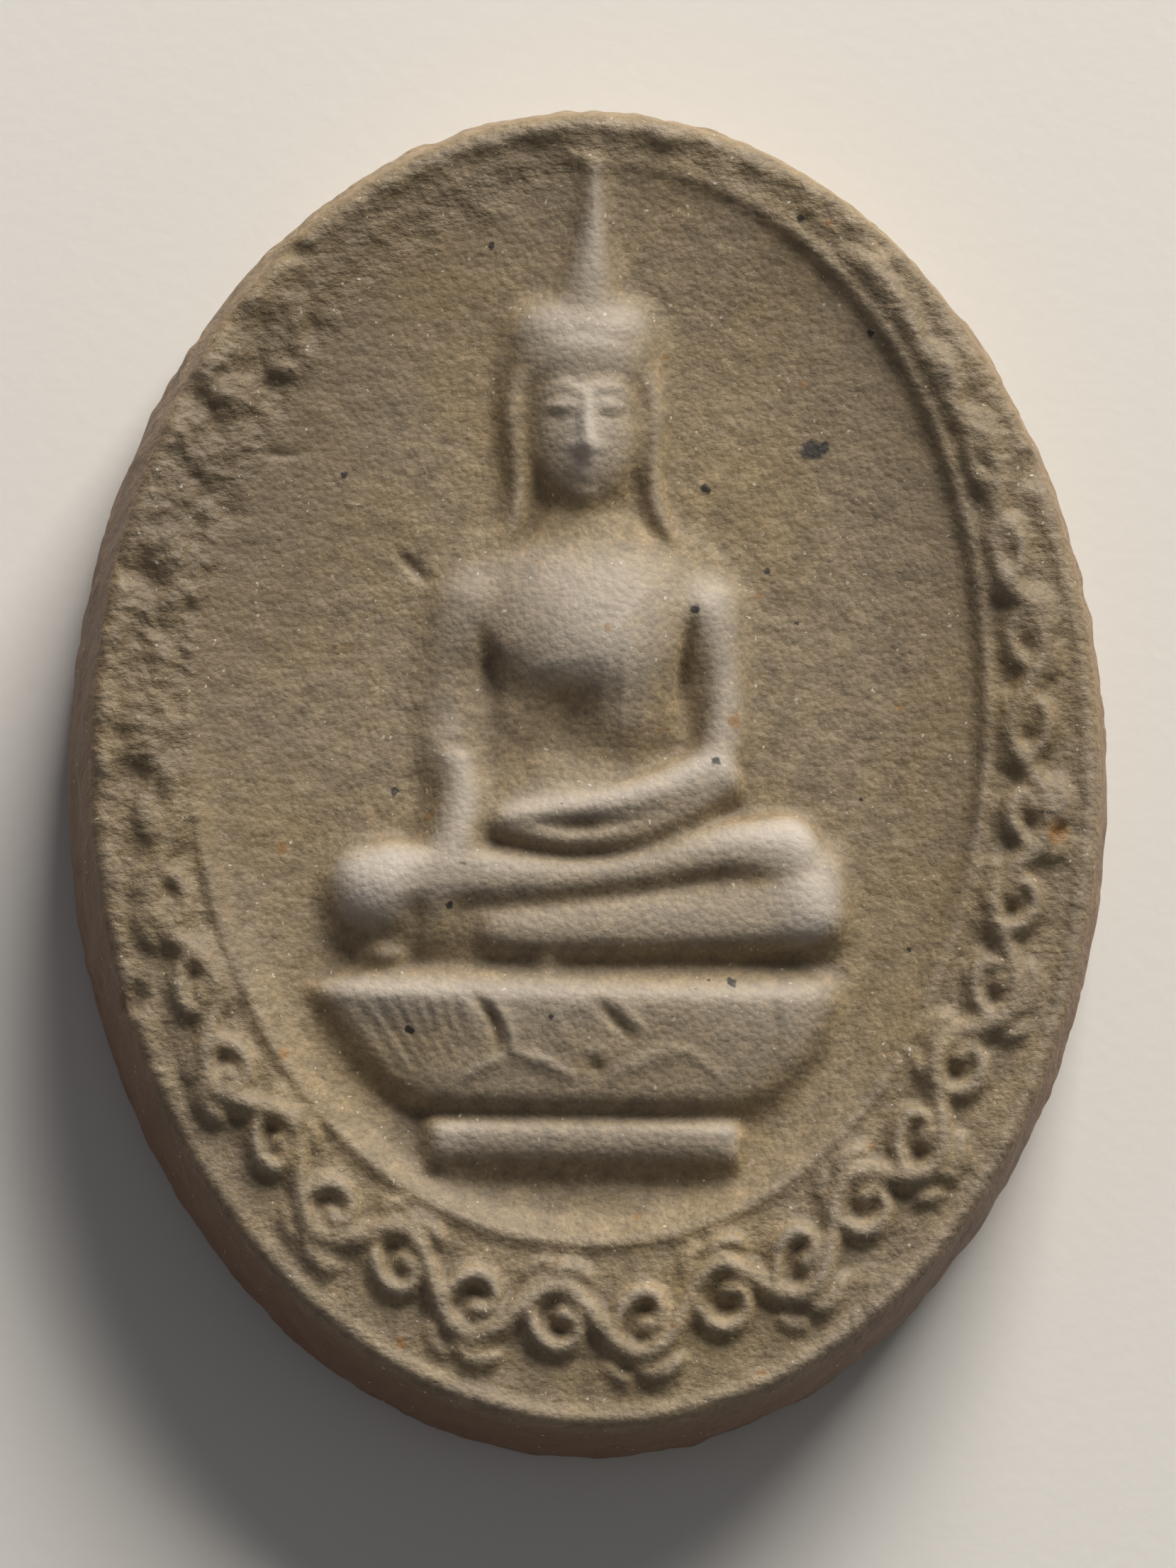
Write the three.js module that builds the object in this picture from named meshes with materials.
// An oval amulet of pressed clay: one solid tablet with a raised rim, a raised oval line,
// a leafy scroll in the border band and a seated figure in relief on a lotus pedestal.
//
// Frame: the flat back lies on Z = 0 with the origin in its middle, +Z comes out of the face
// and +Y points to the top of the figure's head. All lengths are in millimetres.
import * as THREE from "three";
import { mergeGeometries, mergeVertices } from "three/addons/utils/BufferGeometryUtils.js";

// The tablet
const TABLET_WIDTH = 24.7; // across the wall's widest line
const TABLET_HEIGHT = 32.1;
const TABLET_THICKNESS = 4.2; // from the back to the ground of the border band
const WALL_DRAFT = 0.42; // how much the face is drawn in from the wall's widest line
const WALL_BELLY_LEVEL = 1.5; // how high above the back the wall is widest
const BACK_ROUNDING = 0.35; // how much the back's edge is drawn in
const RIM_WIDTH = 0.6;
const RIM_RISE = 0.2;
const RIM_EDGE_DROP = 0.14; // how far the worn outer edge of the rim falls

// The oval line round the sunken field, set by the width of the band on each side of it
const BAND_LEFT = 2.28;
const BAND_RIGHT = 2.68;
const BAND_TOP = 1.08;
const BAND_BOTTOM = 4.38;
const LINE_WIDTH = 0.5;
const LINE_RISE = 0.2;
const FIELD_DEPTH = 0.45;
const FIELD_SLOPE_WIDTH = 3; // how far inside the line the field has sunk to its full depth
const FIELD_FULLNESS = 2.1; // 2 is an ellipse, and more is squarer

// The scroll in the band
const SCROLL_WAVE = 4.2; // length of one wave of the stem
const SCROLL_SWING = 0.23; // how far the stem swings, as a share of the band's width
const STEM_WIDTH = 1.1; // at its feet
const LEAF_LENGTH = 1.9;
const LEAF_WIDTH = 1.3;
const LEAF_TILT = THREE.MathUtils.degToRad(38);
const SCROLL_RISE = 0.36;

// Where the border is most worn, the upper left, and what share of each thing is left there
const MOST_WORN_AT = THREE.MathUtils.degToRad(115);
const SCROLL_LEFT = 0.05;
const LINE_LEFT = 0.15;
const RIM_LEFT = 0.4;

// The plinth, the pedestal on it and the figure, stacked from the field's lower end
const PLINTH_MARGIN = 1.4; // from the oval line to the plinth
const PLINTH_WIDTH = 7.6;
const PLINTH_HEIGHT = 1.55;
const PLINTH_RELIEF = 0.75;
const PEDESTAL_WIDTH = 12.9; // at the lip
const PEDESTAL_FOOT_WIDTH = 7.4;
const PEDESTAL_HEIGHT = 3.7;
const PEDESTAL_LIP = 0.8; // height of the lip's slope
const PEDESTAL_RELIEF = 1.1;
const FIGURE_WIDTH = 12.5; // knee to knee
const FIGURE_HEIGHT = 16.1; // seat to crown
const FIGURE_RELIEF = 1.3;
const FIGURE_SHIFT = -0.1; // the figure's middle line from the field's

// How softly the forms meet
const SINK = 0.12; // a form's edge lies this far below the ground it stands on
const GROOVE_SOFTNESS = 0.12;
const LAYER_SOFTNESS = 0.22;
const FOOT_SOFTNESS = 0.2;

// The mesh
const RINGS = 36; // from the middle of the face to its edge
const RIM_RINGS = 4; // of them, those that shape the rim
const STEPS_PER_RING = 8; // ring number k has 8 k points

const CLAY = new THREE.MeshStandardMaterial({ color: 0xb3a488, roughness: 0.95, metalness: 0 });

// An oval is a middle, two half sizes and a fullness.
const FACE = {
  x: 0,
  y: 0,
  a: TABLET_WIDTH / 2 - WALL_DRAFT,
  b: TABLET_HEIGHT / 2 - WALL_DRAFT,
  fullness: 2,
};
const FIELD = {
  x: (BAND_LEFT - BAND_RIGHT) / 2,
  y: (BAND_BOTTOM - BAND_TOP) / 2,
  a: FACE.a - (BAND_LEFT + BAND_RIGHT) / 2,
  b: FACE.b - (BAND_TOP + BAND_BOTTOM) / 2,
  fullness: FIELD_FULLNESS,
};

const MIDDLE_X = FIELD.x + FIGURE_SHIFT;
const PLINTH_Y = FIELD.y - FIELD.b + PLINTH_MARGIN;
const PEDESTAL_Y = PLINTH_Y + PLINTH_HEIGHT;
const SEAT_Y = PEDESTAL_Y + PEDESTAL_HEIGHT;

// The figure, in layers from the back to the front. In a layer's limbs each row is a joint: x is a percentage
// of the figure's width from its middle line, y of its height from the seat, r of its width, and rise of its
// relief. Left and right are the viewer's. Masses are in the same percentages, and above and below say how
// far one reaches from its middle. A low power makes a section broad and steep-sided.
const LAYERS = {
  lap: {
    softness: 0.23,
    power: 0.6,
    limbs: {
      lowerLeg: [
        { x: 40, y: 6.5, r: 8.8, rise: 74 },
        { x: 30, y: 5.5, r: 8.4, rise: 77 },
        { x: 9, y: 4, r: 7.2, rise: 77 },
        { x: -7, y: 3.5, r: 5.8, rise: 74 },
        { x: -14.5, y: 3, r: 4.8, rise: 68 },
      ],
      upperLeg: [
        { x: -35, y: 11, r: 7.6, rise: 77 },
        { x: -20, y: 11.5, r: 6.4, rise: 77 },
        { x: -5, y: 12.5, r: 5.9, rise: 80 },
        { x: 11, y: 14, r: 5.8, rise: 82 },
        { x: 26.5, y: 16.5, r: 6.2, rise: 80 },
        { x: 37.5, y: 15.5, r: 7.2, rise: 75 },
      ],
    },
    masses: {
      ground: { x: 1, y: 9.5, halfWidth: 48, above: 12, below: 9, rise: 62, fullness: 3, power: 0.45 },
      leftKnee: { x: -39, y: 10, halfWidth: 11.2, above: 8.5, below: 8.5, rise: 82, fullness: 2.3, power: 0.9 },
      rightKnee: { x: 40, y: 8.5, halfWidth: 11.6, above: 11, below: 8, rise: 77, fullness: 2.4, power: 0.7 },
      toes: { x: -37, y: 1, halfWidth: 4.8, above: 2.5, below: 2.2, rise: 46, fullness: 2, power: 1 },
    },
  },
  torso: {
    softness: 0.3,
    power: 1.1,
    limbs: {
      leftUpperArm: [
        { x: -21, y: 52, r: 9.2, rise: 51 },
        { x: -24, y: 46, r: 7.2, rise: 42 },
        { x: -25, y: 38.5, r: 6.7, rise: 38 },
        { x: -25, y: 31.5, r: 6.4, rise: 43 },
      ],
      rightUpperArm: [
        { x: 23, y: 52, r: 9.2, rise: 54 },
        { x: 25, y: 46.5, r: 7, rise: 48 },
        { x: 26, y: 38.5, r: 6.7, rise: 48 },
        { x: 25.5, y: 32.5, r: 6.7, rise: 51 },
      ],
      neck: [
        { x: 0.5, y: 73, r: 8, rise: 31 },
        { x: 1, y: 67.5, r: 8.8, rise: 28 },
        { x: 1, y: 62.5, r: 12.8, rise: 32 },
      ],
    },
    masses: {
      hips: { x: -1.5, y: 23, halfWidth: 25, above: 12, below: 7.5, rise: 51, fullness: 2.3, power: 1 },
      flank: { x: -9, y: 38.5, halfWidth: 12.8, above: 12.5, below: 13.5, rise: 40, fullness: 2.2, power: 1 },
      belly: { x: 6, y: 42, halfWidth: 14.5, above: 8, below: 16, rise: 74, fullness: 2.2, power: 0.9 },
      chest: { x: 1, y: 48, halfWidth: 22, above: 15, below: 12.5, rise: 100, fullness: 2.2, power: 0.9 },
      yoke: { x: 1, y: 48, halfWidth: 31, above: 16, below: 6.2, rise: 74, fullness: 2.6, power: 0.9 },
    },
  },
  head: {
    softness: 0.15,
    power: 1.1,
    limbs: {
      spire: [
        { x: 0.5, y: 97, r: 9.2, rise: 48 },
        { x: 1, y: 101, r: 6.9, rise: 45 },
        { x: 1.5, y: 106, r: 4.8, rise: 38 },
        { x: 2, y: 112, r: 3.5, rise: 31 },
        { x: 2, y: 118, r: 2.7, rise: 20 },
      ],
      nose: [
        { x: 0, y: 83.5, r: 1.6, rise: 88 },
        { x: 0, y: 76, r: 2.2, rise: 100 },
      ],
    },
    masses: {
      head: { x: 0, y: 80, halfWidth: 13.3, above: 15, below: 15, rise: 80, fullness: 2.2, power: 0.75 },
      hair: { x: 0, y: 90, halfWidth: 16.8, above: 10.5, below: 10, rise: 75, fullness: 2.7, power: 0.9 },
    },
  },
  hands: {
    softness: 0.15,
    power: 0.6,
    limbs: {
      rightForearm: [
        { x: 24.5, y: 28, r: 5.9, rise: 63 },
        { x: 18.5, y: 26, r: 5.4, rise: 72 },
        { x: 11, y: 24, r: 5, rise: 78 },
        { x: 2.5, y: 22.5, r: 4.5, rise: 80 },
        { x: -7, y: 21.5, r: 4.2, rise: 77 },
        { x: -14.5, y: 21, r: 4, rise: 69 },
      ],
      restingPalm: [
        { x: -15, y: 19.5, r: 3.7, rise: 65 },
        { x: -7, y: 18.5, r: 3.8, rise: 71 },
        { x: 2.5, y: 18, r: 3.8, rise: 72 },
        { x: 12, y: 20, r: 4.3, rise: 71 },
        { x: 20, y: 23, r: 4.8, rise: 65 },
        { x: 25.5, y: 26.5, r: 5.3, rise: 54 },
      ],
    },
    masses: {
      wrist: { x: 3, y: 21.5, halfWidth: 25.5, above: 6.2, below: 6.2, rise: 65, fullness: 2.6, power: 0.6 },
    },
  },
  front: {
    softness: 0.08,
    power: 1,
    limbs: {
      leftForearm: [
        { x: -25, y: 31.5, r: 6.2, rise: 43 },
        { x: -23.5, y: 25, r: 6.1, rise: 58 },
        { x: -24.5, y: 19.5, r: 6.2, rise: 72 },
        { x: -27, y: 13.5, r: 6.7, rise: 80 },
        { x: -29, y: 8.5, r: 6.7, rise: 74 },
        { x: -29.5, y: 4, r: 5.8, rise: 58 },
      ],
      leftEar: [
        { x: -12.5, y: 86, r: 3.2, rise: 43 },
        { x: -13, y: 76, r: 3.4, rise: 36 },
        { x: -12.5, y: 69.5, r: 2.7, rise: 31 },
        { x: -14.5, y: 62.5, r: 2.2, rise: 20 },
      ],
      rightEar: [
        { x: 12.5, y: 86, r: 3.2, rise: 43 },
        { x: 13, y: 76, r: 3.4, rise: 36 },
        { x: 13.5, y: 69.5, r: 2.7, rise: 31 },
        { x: 17, y: 62, r: 2.2, rise: 20 },
      ],
    },
    masses: {},
  },
};

const clamp01 = (t) => THREE.MathUtils.clamp(t, 0, 1);
const mix = THREE.MathUtils.lerp;

// A rounded cross-section: 1 on the axis and 0 from t = 1 outwards.
function dome(t, power = 0.75) {
  return Math.pow(Math.max(0, 1 - t * t), power);
}

// A bell with flat ends: 1 at t = 0, and 0 from t = 1 outwards.
function bell(t) {
  const rest = Math.max(0, 1 - t * t);
  return rest * rest;
}

// The larger of two heights, with the crease between them filled in over the given softness.
function softMax(p, q, softness) {
  const near = Math.max(softness - Math.abs(p - q), 0) / softness;
  return Math.max(p, q) + (near * near * softness) / 4;
}

// How far a point lies inside an oval's edge, negative outside it.
function depthInside(oval, x, y) {
  const u = Math.abs(x - oval.x) / oval.a;
  const v = Math.abs(y - oval.y) / oval.b;
  const n = oval.fullness;
  const size = Math.pow(Math.pow(u, n) + Math.pow(v, n), 1 / n);
  if (size < 1e-9) return Math.min(oval.a, oval.b);
  const slope = Math.hypot(Math.pow(u / size, n - 1) / oval.a, Math.pow(v / size, n - 1) / oval.b);
  return (1 - size) / slope;
}

// How much is left at an angle round the face of what is worn down to the given share where wear is worst.
function unworn(angle, share) {
  return mix(share, 1, (1 - Math.cos(angle - MOST_WORN_AT)) / 2);
}

// The ground: the rim and the oval line are raised beads, and the field is a shallow dish.
function groundHeight(angle, fromEdge, insideLine) {
  const rim = RIM_RISE * unworn(angle, RIM_LEFT) * bell((fromEdge - RIM_WIDTH / 2) / (RIM_WIDTH * 0.6));
  const worn = RIM_EDGE_DROP * (1 - dome(1 - clamp01(fromEdge / (RIM_WIDTH / 2))));
  const line = LINE_RISE * unworn(angle, LINE_LEFT) * bell(insideLine / LINE_WIDTH);
  const sunk = clamp01(insideLine / FIELD_SLOPE_WIDTH);
  const dish = FIELD_DEPTH * sunk * (2 - sunk);
  return rim + line - worn - dish;
}

// Arc length along the middle of the band, as a function of the angle round the face.
const BAND_MIDDLE = {
  a: (FACE.a - RIM_WIDTH + FIELD.a) / 2,
  b: (FACE.b - RIM_WIDTH + FIELD.b) / 2,
};
const ARC_SAMPLES = 360;
const ARC_LENGTHS = [0];
for (let i = 0; i < ARC_SAMPLES; i++) {
  const angle = ((i + 0.5) / ARC_SAMPLES) * 2 * Math.PI;
  const speed = Math.hypot(BAND_MIDDLE.a * Math.sin(angle), BAND_MIDDLE.b * Math.cos(angle));
  ARC_LENGTHS.push(ARC_LENGTHS[i] + (speed * 2 * Math.PI) / ARC_SAMPLES);
}
const WAVES = Math.round(ARC_LENGTHS[ARC_SAMPLES] / SCROLL_WAVE);
const WAVE = ARC_LENGTHS[ARC_SAMPLES] / WAVES;

function arcLength(angle) {
  const turn = (angle / (2 * Math.PI) + 1) % 1;
  const i = Math.min(Math.floor(turn * ARC_SAMPLES), ARC_SAMPLES - 1);
  return mix(ARC_LENGTHS[i], ARC_LENGTHS[i + 1], turn * ARC_SAMPLES - i);
}

// A leaf beside the stem: a long bell turned by the leaf's tilt. along and across are from its middle.
function leafHeight(along, across, tilt, size) {
  const u = along * Math.cos(tilt) + across * Math.sin(tilt);
  const v = across * Math.cos(tilt) - along * Math.sin(tilt);
  return bell(Math.hypot(u / (LEAF_LENGTH / 2), v / (LEAF_WIDTH / 2)) / size);
}

// The scroll: a stem that swings from side to side along the band, with a leaf in each hollow.
function scrollHeight(angle, fromEdge, outsideLine) {
  const bandWidth = fromEdge + outsideLine - RIM_WIDTH;
  if (outsideLine <= 0 || bandWidth <= 0) return 0;
  const along = arcLength(angle);
  const across = fromEdge - RIM_WIDTH - bandWidth / 2;
  const phase = (along / WAVE) * 2 * Math.PI;
  const swing = SCROLL_SWING * bandWidth;
  const slope = ((swing * 2 * Math.PI) / WAVE) * Math.cos(phase);
  const stem = bell(((across - swing * Math.sin(phase)) / Math.hypot(1, slope)) / (STEM_WIDTH / 2));

  const hollow = Math.round(along / (WAVE / 2) - 0.5);
  const side = hollow % 2 === 0 ? -1 : 1;
  const leafAlong = along - (hollow + 0.5) * (WAVE / 2);
  const leafAcross = across - side * swing * 0.25;
  const leafSize = clamp01(bandWidth / (2 * LEAF_LENGTH));
  const leaf = leafHeight(leafAlong, leafAcross, side * LEAF_TILT, leafSize);

  const edges = clamp01(outsideLine / LINE_WIDTH) * clamp01((fromEdge - RIM_WIDTH / 2) / RIM_WIDTH);
  return SCROLL_RISE * unworn(angle, SCROLL_LEFT) * edges * softMax(stem, leaf, GROOVE_SOFTNESS);
}

// A limb: tapered round bars from joint to joint, in millimetres.
function limbHeight(joints, power, x, y) {
  let height = -SINK;
  for (let i = 1; i < joints.length; i++) {
    const from = joints[i - 1];
    const to = joints[i];
    const dx = to.x - from.x;
    const dy = to.y - from.y;
    const t = clamp01(((x - from.x) * dx + (y - from.y) * dy) / (dx * dx + dy * dy));
    const away = Math.hypot(x - from.x - t * dx, y - from.y - t * dy);
    const bar = (mix(from.rise, to.rise, t) + SINK) * dome(away / mix(from.r, to.r, t), power) - SINK;
    height = Math.max(height, bar);
  }
  return height;
}

// A broad mass: a dome over an oval that reaches further above its middle than below it, or the other way.
function massHeight(mass, x, y) {
  const u = Math.abs(x - mass.x) / mass.halfWidth;
  const v = Math.abs(y - mass.y) / (y > mass.y ? mass.above : mass.below);
  const size = Math.pow(Math.pow(u, mass.fullness) + Math.pow(v, mass.fullness), 1 / mass.fullness);
  return (mass.rise + SINK) * dome(size, mass.power) - SINK;
}

const acrossFigure = (percent) => MIDDLE_X + (percent / 100) * FIGURE_WIDTH;
const aboveSeat = (percent) => SEAT_Y + (percent / 100) * FIGURE_HEIGHT;
const FIGURE = Object.values(LAYERS).map((layer) => ({
  ...layer,
  limbs: Object.values(layer.limbs).map((joints) =>
    joints.map((joint) => ({
      x: acrossFigure(joint.x),
      y: aboveSeat(joint.y),
      r: (joint.r / 100) * FIGURE_WIDTH,
      rise: (joint.rise / 100) * FIGURE_RELIEF,
    })),
  ),
  masses: Object.values(layer.masses).map((mass) => ({
    ...mass,
    x: acrossFigure(mass.x),
    y: aboveSeat(mass.y),
    halfWidth: (mass.halfWidth / 100) * FIGURE_WIDTH,
    above: (mass.above / 100) * FIGURE_HEIGHT,
    below: (mass.below / 100) * FIGURE_HEIGHT,
    rise: (mass.rise / 100) * FIGURE_RELIEF,
  })),
}));

// The figure: the soft maximum of its forms within each layer, and then of its layers. A layer's softness is
// a share of the figure's relief.
function figureHeight(x, y) {
  let figure = -SINK;
  for (const { softness, power, limbs, masses } of FIGURE) {
    const forms = [
      ...limbs.map((joints) => limbHeight(joints, power, x, y)),
      ...masses.map((mass) => massHeight(mass, x, y)),
    ];
    const layer = forms.reduce((height, form) => softMax(height, form, softness * FIGURE_RELIEF));
    figure = softMax(figure, layer, LAYER_SOFTNESS);
  }
  return figure;
}

// The pedestal: a bowl seen from the side, with a lip that slopes back to the seat. It narrows from the lip
// to the foot, is round from end to end, and falls gently below the lip and then steeply at the foot.
function pedestalHeight(x, y) {
  const down = (SEAT_Y - y) / PEDESTAL_HEIGHT;
  if (down <= 0 || down >= 1) return -SINK;
  const narrowing = Math.pow(1 - Math.pow(down, 1.5), 0.7);
  const halfWidth = mix(PEDESTAL_FOOT_WIDTH, PEDESTAL_WIDTH, narrowing) / 2;
  const ends = Math.sqrt(Math.max(0, 1 - Math.pow(Math.abs(x - MIDDLE_X) / halfWidth, 3)));
  const lip = PEDESTAL_LIP / PEDESTAL_HEIGHT;
  const below = clamp01((down - lip) / (1 - lip));
  const steep = THREE.MathUtils.smoothstep(below, 0.65, 1);
  const profile = down < lip ? mix(0.42, 1, down / lip) : 1 - 0.25 * below - 0.6 * steep;
  return (PEDESTAL_RELIEF + SINK) * ends * profile - SINK;
}

// The plinth: two round bars that run together, the lower one shorter and set back.
const PLINTH_TIERS = [
  { up: 0.64, halfLength: 0.5, r: 0.36, rise: 1 },
  { up: 0.4, halfLength: 0.46, r: 0.4, rise: 0.88 },
];
const PLINTH = PLINTH_TIERS.map((tier) => {
  const bar = {
    y: PLINTH_Y + tier.up * PLINTH_HEIGHT,
    r: tier.r * PLINTH_HEIGHT,
    rise: tier.rise * PLINTH_RELIEF,
  };
  const reach = tier.halfLength * PLINTH_WIDTH - bar.r;
  return [
    { ...bar, x: MIDDLE_X - reach },
    { ...bar, x: MIDDLE_X + reach },
  ];
});

// Height of the face above the band's ground.
function reliefHeight(x, y) {
  const fromEdge = depthInside(FACE, x, y);
  const insideLine = depthInside(FIELD, x, y);
  const angle = Math.atan2(y / BAND_MIDDLE.b, x / BAND_MIDDLE.a);
  const ground = groundHeight(angle, fromEdge, insideLine) + scrollHeight(angle, fromEdge, -insideLine);
  let form = softMax(pedestalHeight(x, y), figureHeight(x, y), GROOVE_SOFTNESS);
  for (const bar of PLINTH) form = softMax(form, limbHeight(bar, 1, x, y), GROOVE_SOFTNESS);
  return ground + softMax(0, form, FOOT_SOFTNESS);
}

// A grid of points in columns and rows, each put in place by a function, as a surface facing out.
// Each cell is split along its shorter diagonal, so that no crease of the relief is cut across.
function surface(columns, rows, place) {
  const points = [];
  for (let row = 0; row <= rows; row++) {
    for (let column = 0; column <= columns; column++) points.push(place(column, row));
  }
  const index = [];
  for (let row = 0; row < rows; row++) {
    for (let column = 0; column < columns; column++) {
      const a = row * (columns + 1) + column;
      const b = a + 1;
      const c = b + columns + 1;
      const d = c - 1;
      if (points[a].distanceTo(points[c]) < points[b].distanceTo(points[d])) index.push(a, b, c, a, c, d);
      else index.push(a, b, d, b, c, d);
    }
  }
  return new THREE.BufferGeometry().setFromPoints(points).setIndex(index);
}

// A point of the oval that lies inset from the face's edge; turn counts eighths round a ring.
function ovalPoint(inset, turn, share = 1) {
  const angle = (Math.PI / 4) * turn;
  return new THREE.Vector2(
    (FACE.a - inset) * share * Math.cos(angle),
    (FACE.b - inset) * share * Math.sin(angle),
  );
}

// Wraps a square grid round the middle: ring k is the square of points k steps out, drawn as an oval.
function facePoint(column, row) {
  const i = column - RINGS;
  const j = row - RINGS;
  const ring = Math.max(Math.abs(i), Math.abs(j));
  if (ring === 0) return new THREE.Vector3(0, 0, TABLET_THICKNESS + reliefHeight(0, 0));
  let step = 6 * ring + i;
  if (i === ring) step = j;
  else if (j === ring) step = 2 * ring - i;
  else if (i === -ring) step = 4 * ring - j;
  step = (step + STEPS_PER_RING * ring) % (STEPS_PER_RING * ring);
  const fromRim = Math.min((RINGS - ring) / RIM_RINGS, 1);
  const inset = RIM_WIDTH * Math.pow(fromRim, 1.4);
  const share = Math.min(ring / (RINGS - RIM_RINGS), 1);
  const point = ovalPoint(inset, step / ring, share);
  return new THREE.Vector3(point.x, point.y, TABLET_THICKNESS + reliefHeight(point.x, point.y));
}

const RING_STEPS = STEPS_PER_RING * RINGS;

// The wall's sections, from the back's edge up to the face's edge.
const WALL = [
  { inset: BACK_ROUNDING - WALL_DRAFT, level: () => 0 },
  { inset: -WALL_DRAFT, level: () => WALL_BELLY_LEVEL },
  { inset: 0, level: (point) => TABLET_THICKNESS + reliefHeight(point.x, point.y) },
];

function wallPoint(column, row) {
  const point = ovalPoint(WALL[row].inset, (column % RING_STEPS) / RINGS);
  return new THREE.Vector3(point.x, point.y, WALL[row].level(point));
}

function backSurface() {
  const edge = [];
  for (let step = 0; step < RING_STEPS; step++) edge.push(ovalPoint(WALL[0].inset, step / RINGS));
  const back = new THREE.ShapeGeometry(new THREE.Shape(edge));
  back.setIndex(Array.from(back.index.array).reverse());
  return back;
}

function tabletGeometry() {
  const skins = [
    surface(2 * RINGS, 2 * RINGS, facePoint),
    surface(RING_STEPS, WALL.length - 1, wallPoint),
    backSurface(),
  ];
  const back = skins[skins.length - 1];
  back.deleteAttribute("normal");
  back.deleteAttribute("uv");
  const solid = mergeVertices(mergeGeometries(skins));
  solid.computeVertexNormals();
  return solid;
}

const amulet = new THREE.Group();
const tablet = new THREE.Mesh(tabletGeometry(), CLAY);
tablet.name = "clay_tablet";
amulet.add(tablet);

export default amulet;
